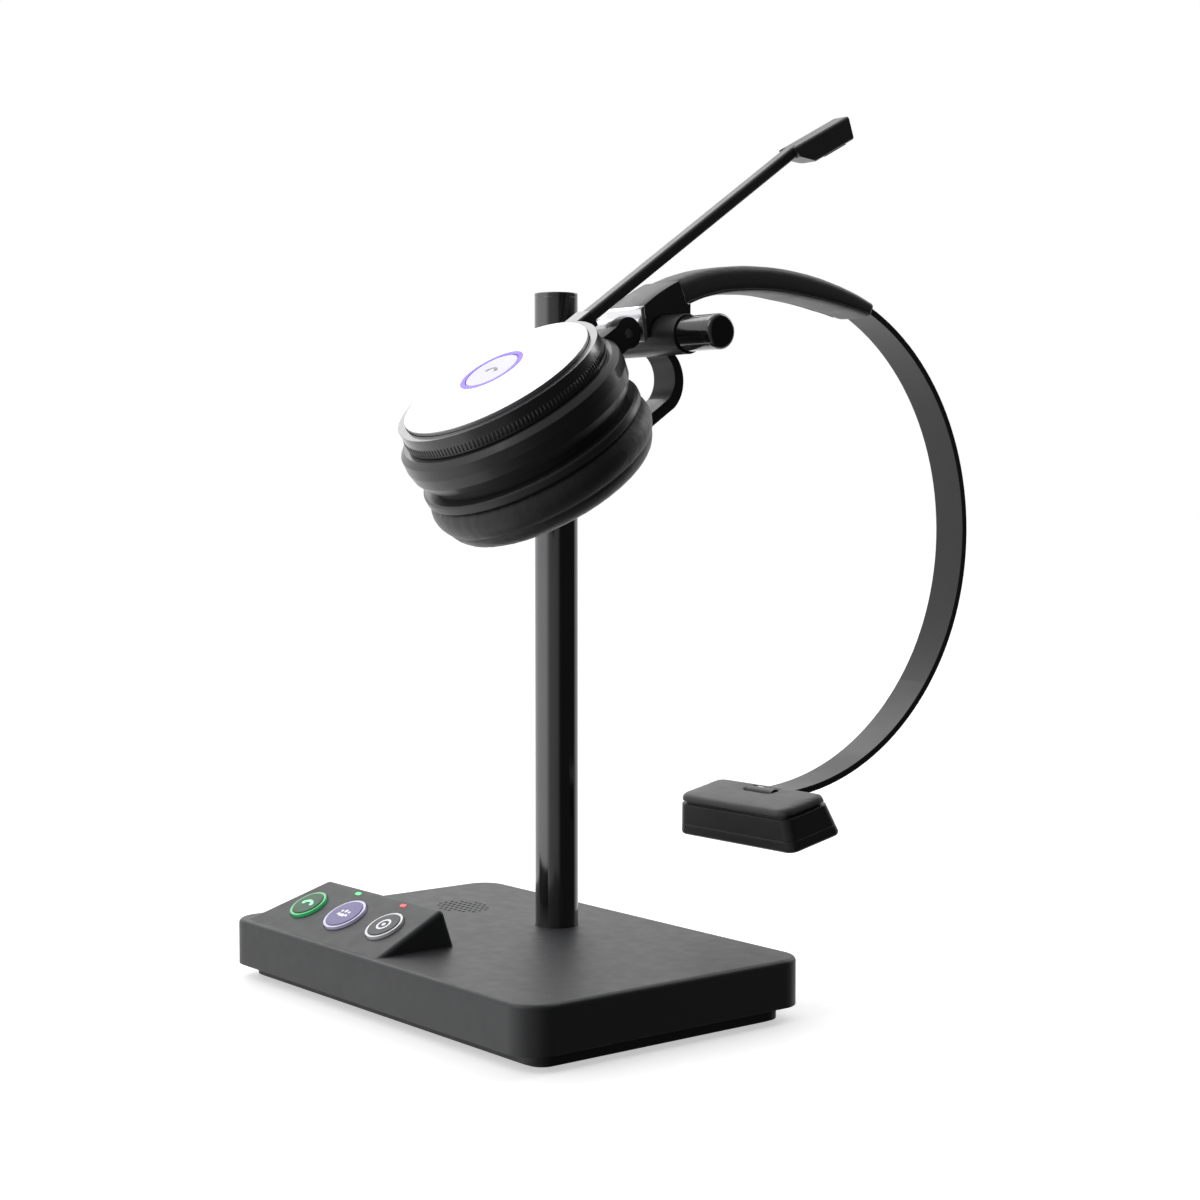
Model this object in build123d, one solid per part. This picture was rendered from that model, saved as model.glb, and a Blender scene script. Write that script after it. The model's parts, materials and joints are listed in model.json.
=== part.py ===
"""Wireless office headset on its charging stand, in millimetres.

Frame: +X along the base's width, +Y to the back of the base, +Z up.
The origin is the centre of the base's underside, on the desk.
The headset hangs in a plane of constant X, so its outlines are drawn in Y and Z.
"""
from build123d import *
from math import atan2, cos, radians, sin, tan
import os

os.makedirs("parts", exist_ok=True)

# ---------------------------------------------------------------- base
base_width = 142.0
base_depth = 92.0
base_corner = 8.0
base_top = 16.6
shell_bottom = 4.0
shell_wall = 2.4
shell_edge_round = 1.2
plinth_side_inset = 3.2
plinth_front_inset = 5.4
mat_thickness = 1.2
mat_inset = 1.6
cover_screw_x = 60.5
cover_screw_y = 31.0
cover_screw_radius = 1.5
cover_screw_head = 2.8

ballast_width = 88.0
ballast_depth = 60.0
ballast_thickness = 2.4
board_width = 112.0
board_front = -17.0
board_thickness = 1.6
board_lift = 9.2

grille_x = -41.0
grille_y = 14.6
grille_width = 19.0
grille_depth = 14.0
grille_hole = 0.55
grille_pitch = 2.1
speaker_radius = 9.5

port_pitch = 17.0
port_x = -22.0
port_width = 9.0
port_height = 3.2
port_depth = 7.2

# ---------------------------------------------------------------- key console
console_front = -43.6
console_ridge = -22.8
console_back = -19.2
console_right = 3.0
console_left = -53.0
console_flank = 11.5
console_slope = 27.0
console_round = 1.3
key_row = 11.3
key_x = (-47.6, -28.6, -9.0)
key_names = ("call", "meeting", "mute")
key_radius = (5.5, 6.3, 5.5)
key_gap = 0.15
key_height = 1.0
key_travel = 0.8
key_flange = 0.9
key_cap_inset = 0.7
lens_row = 20.6
lens_x = (-35.0, -12.6)
lens_length = 2.6
lens_width = 1.3
switch_height = 0.7

# ---------------------------------------------------------------- pole and arm
pole_x = -3.5
pole_y = 20.3
pole_radius = 6.0
pole_wall = 1.2
pole_top = 192.7
pole_cap_thickness = 1.2
arm_z = 178.7
arm_radius = 4.6
arm_wall = 1.3
arm_end = 65.5
fit_gap = 0.01
arm_cap_length = 3.0
arm_cap_round = 1.5
collar_start = 20.0
collar_end = 52.2
collar_wall = 0.6
contact_pad = 0.25
contact_pad_radius = 1.1
contact_pin_radius = 0.8
rest_width = 8.6
rest_thickness = 2.9

# ---------------------------------------------------------------- headband
headset_x = 36.0
band_width = 14.0
top_centre = (57.4, 87.3)
top_radius = 111.8
front_turn = -8.0
front_radius = 62.5
rear_turn = 16.4
rear_radius = 71.7
low_turn = 129.2
low_radius = 77.1
band_thickness = 7.3
cover_end_angle = 24.3
cover_taper_start = 7.0
cover_end_thickness = 4.6
seam_angle = -24.0
strip_skin = 1.0
strip_thickness = 1.8
strip_width = 10.4
strip_start_angle = -31.0
front_face_y = 12.9
front_face_lean = 8.7
front_cap_thickness = 1.2
saddle_gap = 0.3
saddle_foot = 181.8
saddle_front = 18.5
saddle_back = 29.0
saddle_top = 187.4

# ---------------------------------------------------------------- slider and hinge
slide_depth = 4.0
slide_thickness = 1.2
slide_width = 7.0
slide_gap = 0.25
slide_end_angle = -14.0
hinge_angle = -44.8
hinge_lift = 1.8
hinge_radius = 4.1
hinge_pin_radius = 1.2
running_gap = 0.05
ear_width = 3.15
ear_gap = 0.25

# ---------------------------------------------------------------- ear cup
cup_centre = (-29.5, 166.85)
cup_tilt = 34.1
plate_radius = 25.6
plate_thickness = 1.5
plate_crown = 2.2
light_outer = 8.8
light_inner = 7.5
button_gap = 0.15
button_travel = 0.5
hub_radius = 24.12
ring_radius = 27.8
ring_top = 1.0
ring_bottom = 6.2
cup_radius = 30.8
cup_top = 6.4
cup_bottom = 16.2
cup_wall = 2.0
neck_radius = 27.0
battery_width = 24.0
battery_length = 30.0
battery_thickness = 4.6
lip_radius = 30.3
lip_top = 18.8
lip_bottom = 21.4
cushion_radius = 30.8
cushion_hole = 13.5
cushion_bottom = 34.0

# ---------------------------------------------------------------- microphone boom
boom_width = 4.3
boom_height = 3.1
boom_depth = 3.2
boom_end = 121.0
socket_end = 33.0
mic_start = 119.0
mic_end = 142.4
mic_width = 6.6
mic_height = 6.6
mic_bend = 7.0

# ---------------------------------------------------------------- head pad
pad_top_centre = (57.5, 54.6)
pad_lean = 11.7
pad_height = 12.0
pad_top_length = 42.6
pad_top_depth = 16.4
pad_foot_length = 47.0
pad_foot_depth = 19.8
pad_foot_shift = 1.0
pad_corner = 3.0
pad_seam = 2.3
pad_groove = 0.6
pad_base_thickness = 3.2
pad_pivot_angle = 181.9
pad_eye_radius = 1.9
pad_pin_radius = 0.9
pad_swing = 8.0

# ---------------------------------------------------------------- worked out from the above
slope_angle = radians(console_slope)
collar_radius = arm_radius + collar_wall
slope = Plane(
    origin=(0, console_front, base_top),
    x_dir=(1, 0, 0),
    z_dir=(0, -sin(slope_angle), cos(slope_angle)),
)
cavity_top = base_top - shell_wall
ballast_bottom = shell_bottom + 1.6
ballast_top = ballast_bottom + ballast_thickness


def polar(centre, radius, angle):
    """Point in Y and Z, at an angle from straight up, positive towards the back."""
    turn = radians(angle)
    return (centre[0] + radius * sin(turn), centre[1] + radius * cos(turn))


front_centre = polar(top_centre, top_radius - front_radius, front_turn)
rear_centre = polar(top_centre, top_radius - rear_radius, rear_turn)
low_centre = polar(rear_centre, rear_radius - low_radius, low_turn)
slide_radius = front_radius - slide_depth
hinge_point = polar(front_centre, slide_radius + hinge_lift, hinge_angle)
tilt = radians(cup_tilt)
cup = Plane(
    origin=(headset_x, cup_centre[0], cup_centre[1]),
    x_dir=(1, 0, 0),
    z_dir=(0, -sin(tilt), cos(tilt)),
)
hinge_in_cup = cup.to_local_coords(Vector(headset_x, hinge_point[0], hinge_point[1]))
pad_angle = radians(pad_lean)
pad = Plane(
    origin=(headset_x, pad_top_centre[0], pad_top_centre[1]),
    x_dir=(1, 0, 0),
    z_dir=(0, -sin(pad_angle), cos(pad_angle)),
)
pad_pivot = polar(low_centre, low_radius - strip_skin - strip_thickness / 2, pad_pivot_angle)


# ---------------------------------------------------------------- shared shapes
def slab(width, depth, corner, low, high):
    """Upright plate with rounded corners, centred on the origin."""
    outline = RectangleRounded(width, depth, corner)
    return Pos(0, 0, low) * extrude(outline, amount=high - low)


def upright(radius, low, high, x=0.0, y=0.0):
    """Cylinder along Z between two heights."""
    return Pos(x, y, (low + high) / 2) * Cylinder(radius, high - low)


def along_x(radius, start, end, y, z):
    """Cylinder along X between two places."""
    return Pos((start + end) / 2, y, z) * Rot(0, 90, 0) * Cylinder(radius, end - start)


def arc(centre, radius, start, end):
    """Arc in Y and Z between two angles."""
    middle = (start + end) / 2
    return ThreePointArc(
        polar(centre, radius, start),
        polar(centre, radius, middle),
        polar(centre, radius, end),
    )


def headset_plate(edges, width):
    """Closed outline in Y and Z, given its width along X about the headset's plane."""
    face = Plane.YZ * make_face(Curve() + edges)
    return Pos(headset_x, 0, 0) * extrude(face, amount=width / 2, both=True)


def sector(centre, inner, outer, start, end, width):
    """Curved bar between two radii and two angles."""
    edges = [
        arc(centre, outer, start, end),
        Line(polar(centre, outer, end), polar(centre, inner, end)),
        arc(centre, inner, end, start),
        Line(polar(centre, inner, start), polar(centre, outer, start)),
    ]
    return headset_plate(edges, width)


def band_curve(depth, end):
    """Tangent arcs of the headband, at a depth below its outer surface."""
    stretches = [
        (top_centre, top_radius - depth, front_turn, rear_turn),
        (rear_centre, rear_radius - depth, rear_turn, min(end, low_turn)),
    ]
    if end > low_turn:
        stretches.append((low_centre, low_radius - depth, low_turn, end))
    return stretches


def long_strip(depth, thickness, start, end, width):
    """Strip of even thickness along the headband's curve."""
    front = (front_centre, front_radius, start, front_turn)
    outer = [(front[0], front[1] - depth, front[2], front[3])] + band_curve(depth, end)
    inner = [(front[0], front[1] - depth - thickness, front[2], front[3])]
    inner += band_curve(depth + thickness, end)
    edges = [arc(*stretch) for stretch in outer]
    edges += [arc(centre, radius, last, first) for centre, radius, first, last in reversed(inner)]
    for one, other in ((outer[-1], inner[-1]), (outer[0], inner[0])):
        turn = one[3] if one is outer[-1] else one[2]
        edges.append(Line(polar(one[0], one[1], turn), polar(other[0], other[1], turn)))
    return headset_plate(edges, width)


def turned(points):
    """Solid of revolution about local Z from (radius, height) points."""
    face = Plane.XZ * make_face(Polyline(*points, close=True))
    return revolve(face, Axis.Z)


def cup_disc(radius, top, bottom):
    """Disc in the cup's frame, from depth top to depth bottom behind the plate."""
    return Pos(0, 0, -(top + bottom) / 2) * Cylinder(radius, bottom - top)


def cup_tube(inner, outer, top, bottom):
    """Tube in the cup's frame."""
    return cup_disc(outer, top, bottom) - cup_disc(inner, top, bottom)


def cup_block(width, near, far, top, bottom):
    """Block in the cup's frame, from near to far along the boom's direction."""
    centre = Pos(0, (near + far) / 2, -(top + bottom) / 2)
    return centre * Box(width, far - near, bottom - top)


def slope_disc(radius, low, high, x):
    """Disc at a key's place, between two heights above the console's slope."""
    return Pos(x, key_row, (low + high) / 2) * Cylinder(radius, high - low)


def save(node, shape):
    """Write one piece."""
    export_step(shape, "parts/" + node + ".step")


# ---------------------------------------------------------------- base pieces
def console_wedge(inset, low):
    """Sloped console: its faces moved inwards by inset, its foot at height low."""
    left_limit = -base_width / 2 + shell_wall
    right_limit = console_right - inset
    front_limit = -base_depth / 2 + shell_wall
    block = Box(
        right_limit - left_limit,
        console_back + 1 - front_limit,
        base_top + 20 - low,
        align=(Align.MIN, Align.MIN, Align.MIN),
    )
    block = Pos(left_limit, front_limit, low) * block
    ridge_z = base_top + (console_ridge - console_front) * tan(slope_angle)
    back = Plane(
        origin=(0, console_back, base_top),
        x_dir=(1, 0, 0),
        z_dir=Vector(0, ridge_z - base_top, console_back - console_ridge).normalized(),
    )
    flank_top = Vector(console_left, console_ridge, ridge_z)
    flank_front = Vector(console_left - console_flank, console_front, base_top)
    flank_back = Vector(console_left - 4.5, console_back, base_top)
    outward = (flank_back - flank_top).cross(flank_front - flank_top).normalized()
    if outward.X > 0:
        outward = outward * -1
    flank = Plane(origin=flank_top, z_dir=outward)
    for face in (slope, back, flank):
        block = split(block, bisect_by=face.offset(-inset), keep=Keep.BOTTOM)
    return block


def screw_places():
    """Places of the four screws that hold the bottom cover."""
    return [(x, y) for x in (-cover_screw_x, cover_screw_x) for y in (-cover_screw_y, cover_screw_y)]


def grille_places():
    """Places of the speaker holes, inside an ellipse."""
    places = []
    columns = int(grille_width / grille_pitch / 2)
    rows = int(grille_depth / grille_pitch / 2)
    for column in range(-columns, columns + 1):
        for row in range(-rows, rows + 1):
            x = column * grille_pitch
            y = row * grille_pitch
            if (2 * x / grille_width) ** 2 + (2 * y / grille_depth) ** 2 <= 1.0:
                places.append((grille_x + x, grille_y + y))
    return places


def port_places():
    """Places of the sockets along the back wall."""
    return (port_x, port_x + port_pitch)


def port_bar(width, height, front, back, x):
    """Round-ended bar along Y, at a socket's place."""
    outline = SlotOverall(width, height)
    bar = extrude(Plane.XZ * outline, amount=(back - front) / 2, both=True)
    return Pos(x, (front + back) / 2, board_lift + board_thickness + port_height / 2) * bar


def make_base_shell():
    """Top moulding of the base, with the sloped key console."""
    body = slab(base_width, base_depth, base_corner, shell_bottom, base_top)
    body = fillet(body.edges().group_by(Axis.Z)[-1], shell_edge_round)
    wedge = console_wedge(0, base_top - shell_wall / 2)
    crest = [e for e in wedge.edges() if e.center().Z > base_top + console_round]
    body += fillet(crest, console_round)
    body -= slab(
        base_width - 2 * shell_wall,
        base_depth - 2 * shell_wall,
        base_corner - shell_wall,
        shell_bottom,
        cavity_top,
    )
    body -= console_wedge(shell_wall, cavity_top - 1)
    for x, radius in zip(key_x, key_radius):
        body -= slope.location * slope_disc(radius + key_gap, -2 * shell_wall, shell_wall, x)
    for x in lens_x:
        body -= make_lens(x, -2 * shell_wall, shell_wall)
    body -= upright(pole_radius + running_gap, cavity_top - 1, base_top + 1, pole_x, pole_y)
    for x, y in grille_places():
        body -= upright(grille_hole, cavity_top - 1, base_top + 1, x, y)
    for x in port_places():
        body -= port_bar(port_width + 0.3, port_height + 0.3, base_depth / 2 - 4, base_depth / 2 + 1, x)
    for x, y in screw_places():
        body += upright(3.2, shell_bottom + 1.6, cavity_top + 0.5, x, y)
        body -= upright(cover_screw_radius, shell_bottom, cavity_top - 2, x, y)
    return body


def make_bottom_cover():
    """Inset plinth that closes the base from below, with posts for the board."""
    plinth = slab(
        base_width - 2 * plinth_side_inset,
        base_depth - 2 * plinth_front_inset,
        base_corner - shell_wall,
        mat_thickness / 2,
        shell_bottom,
    )
    plinth += slab(
        base_width - 2 * (shell_wall + 0.15),
        base_depth - 2 * (shell_wall + 0.15),
        base_corner - shell_wall,
        shell_bottom,
        ballast_bottom,
    )
    plinth -= slab(
        base_width - 2 * (plinth_side_inset + mat_inset),
        base_depth - 2 * (plinth_front_inset + mat_inset),
        base_corner - shell_wall - mat_inset,
        0,
        mat_thickness,
    )
    for x in (-50.0, 50.0):
        for y in (-12.0, 26.0):
            plinth += upright(2.5, ballast_bottom - 0.5, board_lift, x, y)
    for x, y in screw_places():
        plinth -= upright(cover_screw_radius + 0.2, 0, shell_bottom + 3, x, y)
        plinth -= upright(cover_screw_head + 0.2, 0, 3.2, x, y)
    plinth -= upright(2.2, 0, shell_bottom + 3, pole_x, pole_y)
    plinth -= upright(4.0, 0, 3.6, pole_x, pole_y)
    return plinth


def make_foot_mat():
    """Rubber mat that the stand rests on."""
    mat = slab(
        base_width - 2 * (plinth_side_inset + mat_inset),
        base_depth - 2 * (plinth_front_inset + mat_inset),
        base_corner - shell_wall - mat_inset,
        0,
        mat_thickness,
    )
    for x, y in screw_places():
        mat -= upright(cover_screw_head + 0.4, -1, mat_thickness + 1, x, y)
    mat -= upright(4.2, -1, mat_thickness + 1, pole_x, pole_y)
    return mat


def make_ballast():
    """Steel weight plate that the pole is screwed to."""
    plate = slab(ballast_width, ballast_depth, 4.0, ballast_bottom, ballast_top)
    return plate - upright(2.2, ballast_bottom - 1, ballast_top + 1, pole_x, pole_y)


def make_main_board():
    """Circuit board on the cover's posts, cut round the pole and the speaker."""
    back = base_depth / 2 - shell_wall - 0.6
    depth = back - board_front
    board = Pos(0, board_front + depth / 2, board_lift + board_thickness / 2)
    board = board * Box(board_width, depth, board_thickness)
    board -= upright(pole_radius + 1, 0, base_top, pole_x, pole_y)
    board -= upright(speaker_radius + 0.8, 0, base_top, grille_x, grille_y)
    for x, y in screw_places():
        board -= upright(3.8, 0, base_top, x, y)
    return board


def make_base_speaker():
    """Loudspeaker under the grille: round frame and magnet."""
    frame = upright(speaker_radius, cavity_top - 3.2, cavity_top, grille_x, grille_y)
    return frame + upright(speaker_radius * 0.6, ballast_top, cavity_top - 3.2, grille_x, grille_y)


def make_key_board():
    """Small tilted board that carries the key switches."""
    level = -(shell_wall + key_flange + key_travel + switch_height + 0.3)
    width = key_x[2] - key_x[0] + 13
    board = Pos((key_x[0] + key_x[2]) / 2, key_row, level - 0.5) * Box(width, 10, 1.0)
    return slope.location * board


def make_key_switches():
    """One switch under each key."""
    base = -(shell_wall + key_flange + key_travel + switch_height + 0.3)
    switches = [slope_disc(2.4, base, base + switch_height, x) for x in key_x]
    return slope.location * (switches[0] + switches[1] + switches[2])


def make_lens(x, low, high):
    """Round-ended indicator lens set into the console's slope."""
    lens = Pos(x, lens_row, low) * extrude(SlotOverall(lens_length, lens_width), amount=high - low)
    return slope.location * lens


def make_usb_sockets():
    """Two hollow metal sockets, each with a contact tongue."""
    front = base_depth / 2 - port_depth
    back = base_depth / 2 - 0.4
    sockets = Part()
    for x in port_places():
        socket = port_bar(port_width, port_height, front, back, x)
        socket -= port_bar(port_width - 0.7, port_height - 0.7, front + 1, back + 1, x)
        middle = board_lift + board_thickness + port_height / 2
        tongue = Pos(x, (front + back - 2) / 2 + 0.5, middle) * Box(5.8, back - front - 3, 0.7)
        sockets += socket + tongue
    return sockets


def make_cover_screws():
    """Four countersunk screws into the shell's bosses."""
    screws = Part()
    for x, y in screw_places():
        screw = upright(cover_screw_head, 1.6, 3.2, x, y)
        screw += upright(cover_screw_radius - running_gap, 3.2, cavity_top - 3, x, y)
        screw -= Pos(x, y, 1.6) * Box(3.0, 0.7, 1.2)
        screw -= Pos(x, y, 1.6) * Box(0.7, 3.0, 1.2)
        screws += screw
    return screws


# ---------------------------------------------------------------- keys
def make_key_skirt(radius, x):
    """Translucent body of a key, retained by its flange under the console."""
    skirt = slope_disc(radius, -shell_wall - key_flange, key_height - 0.25, x)
    skirt += slope_disc(radius + key_flange, -shell_wall - key_flange, -shell_wall - 0.1, x)
    skirt -= slope_disc(radius - key_cap_inset, key_height - 1.1, key_height + 1, x)
    return slope.location * skirt


def make_key_cap(radius, x):
    """Opaque top disc of a key."""
    cap = slope_disc(radius - key_cap_inset - 0.02, key_height - 1.1, key_height, x)
    cap = fillet(cap.edges().group_by(Axis.Z)[-1], 0.3)
    return slope.location * cap


# ---------------------------------------------------------------- pole and arm
def make_pole():
    """Upright tube from the weight plate to the cap."""
    top = pole_top - pole_cap_thickness
    tube = upright(pole_radius, ballast_top, top, pole_x, pole_y)
    tube -= upright(pole_radius - pole_wall, ballast_top - 1, top + 1, pole_x, pole_y)
    return tube - along_x(2.0, pole_x, pole_x + 10, pole_y, arm_z)


def make_pole_cap():
    """Cap with a spigot inside the pole."""
    cap = upright(pole_radius, pole_top - pole_cap_thickness, pole_top, pole_x, pole_y)
    cap = fillet(cap.edges().group_by(Axis.Z)[-1], 0.3)
    spigot = pole_radius - pole_wall - running_gap
    return cap + upright(spigot, pole_top - 6, pole_top - pole_cap_thickness, pole_x, pole_y)


def make_pole_plug():
    """Threaded plug in the pole's foot."""
    plug = upright(pole_radius - pole_wall - 0.02, ballast_top, ballast_top + 14, pole_x, pole_y)
    return plug - upright(2.0, ballast_top - 1, ballast_top + 11, pole_x, pole_y)


def make_pole_screw():
    """Screw from below, through the cover and the weight plate into the plug."""
    screw = upright(3.7, 1.8, 3.6, pole_x, pole_y)
    return screw + upright(1.95, 3.6, ballast_top + 9, pole_x, pole_y)


def make_arm():
    """Horizontal tube that the headset hangs on, coped to the pole."""
    tube = along_x(arm_radius, pole_x, arm_end - arm_cap_length, pole_y, arm_z)
    tube -= along_x(arm_radius - arm_wall, pole_x + 22, arm_end, pole_y, arm_z)
    tube -= along_x(1.5, pole_x, pole_x + 18, pole_y, arm_z)
    return tube - upright(pole_radius + fit_gap, arm_z - 20, arm_z + 20, pole_x, pole_y)


def make_arm_stud():
    """Stud that ties the arm to the pole, its head inside the pole."""
    reach = pole_x + pole_radius - pole_wall - 0.6
    stud = along_x(1.45, reach - 2, pole_x + 16, pole_y, arm_z)
    return stud + along_x(2.6, reach - 2.5, reach - 1, pole_y, arm_z)


def make_arm_cap():
    """Rounded end cap with a spigot in the arm."""
    cap = along_x(arm_radius, arm_end - arm_cap_length, arm_end, pole_y, arm_z)
    cap = fillet(cap.edges().group_by(Axis.X)[-1], arm_cap_round)
    spigot = arm_radius - arm_wall - running_gap
    return cap + along_x(spigot, arm_end - 9, arm_end - arm_cap_length, pole_y, arm_z)


def contact_places():
    """Places of the charging contacts along the arm."""
    return (headset_x - 3, headset_x + 3)


def contact_pins(radius, low, high):
    """Small upright pins at the charging contacts' places."""
    pins = [upright(radius, low, high, x, pole_y) for x in contact_places()]
    return pins[0] + pins[1]


def make_collar():
    """Charging sleeve on the arm, under the headset's saddle."""
    collar = along_x(collar_radius, collar_start, collar_end, pole_y, arm_z)
    ends = collar.edges().group_by(Axis.X)
    collar = fillet(ends[0] + ends[-1], 0.3)
    collar -= along_x(arm_radius + 0.02, collar_start - 1, collar_end + 1, pole_y, arm_z)
    return collar - contact_pins(contact_pin_radius + 0.02, arm_z, arm_z + 2 * collar_radius)


def make_charge_pins():
    """Two gold charging pins that stand just proud of the collar."""
    low = arm_z + arm_radius + running_gap
    return contact_pins(contact_pin_radius, low, arm_z + collar_radius + 0.12)


def make_cup_rest():
    """Hooked plate below the arm that the ear cup leans on."""
    outer_knee = (28.9, 167.8)
    outer_heel = (25.9, 160.2)
    tip = (15.6, 153.4)
    lean = atan2(outer_heel[1] - tip[1], outer_heel[0] - tip[0])
    across = (-sin(lean) * rest_thickness, cos(lean) * rest_thickness)
    inner_tip = (tip[0] + across[0], tip[1] + across[1])
    inner_heel = (outer_heel[0] - 2.0, outer_heel[1] + 2.3)
    inner_knee = (outer_knee[0] - rest_thickness, outer_knee[1] + 0.2)
    top_outer = (25.4, 174.6)
    top_inner = (22.2, 174.4)
    edges = [
        ThreePointArc(top_outer, outer_knee, outer_heel),
        Line(outer_heel, tip),
        Line(tip, inner_tip),
        Line(inner_tip, inner_heel),
        ThreePointArc(inner_heel, inner_knee, top_inner),
        Line(top_inner, top_outer),
    ]
    rest = headset_plate(edges, rest_width)
    return rest - along_x(collar_radius + fit_gap, collar_start - 1, collar_end + 1, pole_y, arm_z)


# ---------------------------------------------------------------- headband pieces
def front_plane():
    """Plane of the headband's front end, leaning forward at its top."""
    lean = radians(front_face_lean)
    return Plane(
        origin=(headset_x, front_face_y, hinge_point[1]),
        x_dir=(1, 0, 0),
        z_dir=(0, -cos(lean), -sin(lean)),
    )


def slide_channel(end_angle):
    """Curved channel that the slider strip runs in."""
    half = slide_thickness / 2 + slide_gap
    return sector(
        front_centre,
        slide_radius - half,
        slide_radius + half,
        hinge_angle,
        end_angle,
        slide_width + 2 * slide_gap,
    )


def band_front(width):
    """Front end of the headband, full height, before it is cut to length."""
    inner = front_radius - band_thickness
    return sector(front_centre, inner, front_radius, hinge_angle, seam_angle, width)


def saddle_cut():
    """Round notch over the charging collar, along the arm."""
    radius = collar_radius + saddle_gap
    return along_x(radius, headset_x - band_width, headset_x + band_width, pole_y, arm_z)


def spring_strip(grow):
    """Steel strip of the headband, enlarged by grow on every side."""
    return long_strip(
        strip_skin - grow,
        strip_thickness + 2 * grow,
        strip_start_angle - grow,
        pad_pivot_angle,
        strip_width + 2 * grow,
    )


def guide_tongue(grow):
    """Guide for the slider strip, inside the padded cover."""
    return sector(
        front_centre,
        slide_radius - 2.0 - grow,
        slide_radius + 1.5 + grow,
        seam_angle - 1,
        slide_end_angle + 2 + grow,
        slide_width + 3.6 + 2 * grow,
    )


def make_slider_housing():
    """Front block of the headband: saddle, strip channel and guide."""
    cap_seat = front_plane().offset(-front_cap_thickness)
    block = split(band_front(band_width), bisect_by=cap_seat, keep=Keep.BOTTOM)
    foot = [
        Line((saddle_front, saddle_foot), (saddle_back, saddle_foot)),
        Line((saddle_back, saddle_foot), (saddle_back, saddle_top)),
        Line((saddle_back, saddle_top), (saddle_front, saddle_foot + 1)),
        Line((saddle_front, saddle_foot + 1), (saddle_front, saddle_foot)),
    ]
    block += headset_plate(foot, band_width)
    block += guide_tongue(0)
    block -= slide_channel(slide_end_angle + 1)
    block -= spring_strip(running_gap)
    block -= saddle_cut()
    pad_top = arm_z + collar_radius + saddle_gap + contact_pad
    return block - contact_pins(contact_pad_radius + 0.02, arm_z, pad_top)


def make_front_cap():
    """Bright end cap of the headband, with a slot for the slider strip."""
    face = front_plane()
    cap = split(band_front(band_width), bisect_by=face, keep=Keep.BOTTOM)
    cap = split(cap, bisect_by=face.offset(-front_cap_thickness), keep=Keep.TOP)
    return cap - slide_channel(seam_angle) - saddle_cut()


def make_charge_pads():
    """Two gold pads in the saddle, over the charging pins."""
    low = arm_z + collar_radius + saddle_gap
    return contact_pins(contact_pad_radius, low, low + contact_pad)


def make_band_cover():
    """Padded cover over the top of the headband, thinner at its back end."""
    inner = front_radius - band_thickness
    top_inner = top_radius - band_thickness
    end_inner = polar(rear_centre, rear_radius - cover_end_thickness, cover_end_angle)
    taper = radians(cover_taper_start)
    taper_start = polar(top_centre, top_inner, cover_taper_start)
    edges = [arc(front_centre, front_radius, seam_angle, front_turn)]
    edges += [arc(*stretch) for stretch in band_curve(0, cover_end_angle)]
    edges += [
        Line(polar(rear_centre, rear_radius, cover_end_angle), end_inner),
        TangentArc(taper_start, end_inner, tangent=(cos(taper), -sin(taper))),
        arc(top_centre, top_inner, cover_taper_start, front_turn),
        arc(front_centre, inner, front_turn, seam_angle),
        Line(polar(front_centre, inner, seam_angle), polar(front_centre, front_radius, seam_angle)),
    ]
    cover = headset_plate(edges, band_width)
    foot_room = Box(band_width + 2, saddle_back - saddle_front + 0.2, 12)
    cover -= Pos(headset_x, (saddle_back + saddle_front) / 2, saddle_top - 6) * foot_room
    return cover - spring_strip(running_gap) - guide_tongue(running_gap)


def make_band_spring():
    """Steel headband strip with a rolled eye for the head pad's pin."""
    eye = along_x(pad_eye_radius, headset_x - strip_width / 2, headset_x + strip_width / 2, *pad_pivot)
    strip = spring_strip(0) + eye
    hole = along_x(pad_pin_radius + running_gap, 0, base_width / 2, *pad_pivot)
    return strip - hole


# ---------------------------------------------------------------- slider pieces
def make_slider_strip():
    """Curved metal strip with the middle knuckle of the cup's hinge."""
    half = slide_thickness / 2
    strip = sector(
        front_centre,
        slide_radius - half,
        slide_radius + half,
        hinge_angle,
        slide_end_angle,
        slide_width,
    )
    left = headset_x - slide_width / 2
    strip += along_x(hinge_radius, left, left + slide_width, *hinge_point)
    return strip - along_x(hinge_pin_radius + fit_gap, 0, base_width / 2, *hinge_point)


def make_hinge_pin():
    """Pin fixed in the slider's knuckle; the cup's bracket turns on it."""
    half = slide_width / 2 + ear_gap + ear_width - 0.2
    return along_x(hinge_pin_radius, headset_x - half, headset_x + half, *hinge_point)


# ---------------------------------------------------------------- ear cup pieces
def make_cup_housing():
    """Turned cup shell with the hub that the boom ring runs on."""
    shell = turned([
        (hub_radius - 3.5, -plate_thickness),
        (hub_radius, -plate_thickness),
        (hub_radius, -cup_top),
        (cup_radius - 1.6, -cup_top),
        (cup_radius - 0.2, -cup_top - 1.4),
        (cup_radius, -cup_top - 4.4),
        (cup_radius - 0.5, -cup_bottom + 2.4),
        (cup_radius - 1.7, -cup_bottom),
        (cup_radius - 1.7 - cup_wall, -cup_bottom),
        (cup_radius - cup_wall, -cup_top - 4.4),
        (cup_radius - cup_wall - 0.4, -cup_top - cup_wall),
        (hub_radius - 3.5, -cup_top - cup_wall),
    ])
    return cup.location * shell


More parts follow.
